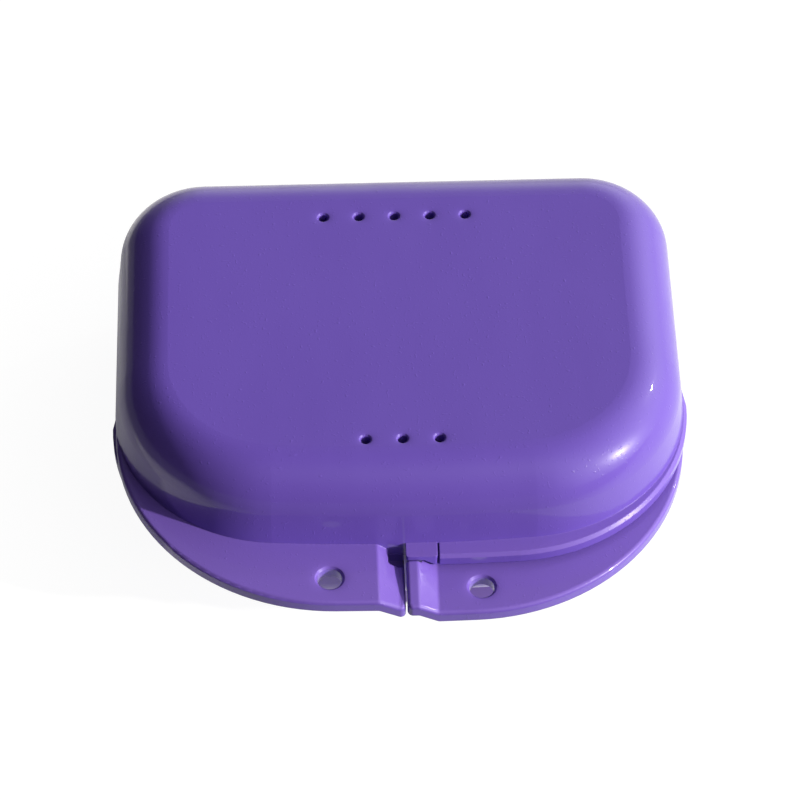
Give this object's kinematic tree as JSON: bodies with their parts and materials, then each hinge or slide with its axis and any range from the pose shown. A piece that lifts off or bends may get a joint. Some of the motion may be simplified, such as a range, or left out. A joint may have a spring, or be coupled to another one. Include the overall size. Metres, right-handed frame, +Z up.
{
  "type": "retainer case",
  "caption": "Hinged D-shaped retainer case: moulded lid and base shells, vent holes, side-by-side finger flanges with lanyard holes, snap latch, rear pin hinge.",
  "frame": {"origin": "on the surface that the closed case stands on, under the centre of its bounding box", "axes": "+Z up from base to lid, -Y to the front with the flanges and latch, +Y to the hinge, X along the hinge pin"},
  "size_m": [0.08, 0.0758, 0.0275],
  "materials": {
    "purple_plastic": "gloss",
    "pin_steel": "drawn wire"
  },
  "bodies": {
    "base": {"base": "purple_plastic", "hinge_pin": "pin_steel"},
    "lid": {"lid": "purple_plastic"}
  },
  "joints": [
    {"name": "lid_hinge", "type": "hinge", "parent": "base", "child": "lid", "pos_m": [0, 0.03555, 0.01375], "axis": [-1, 0, 0], "range_deg": [0, 180]}
  ]
}
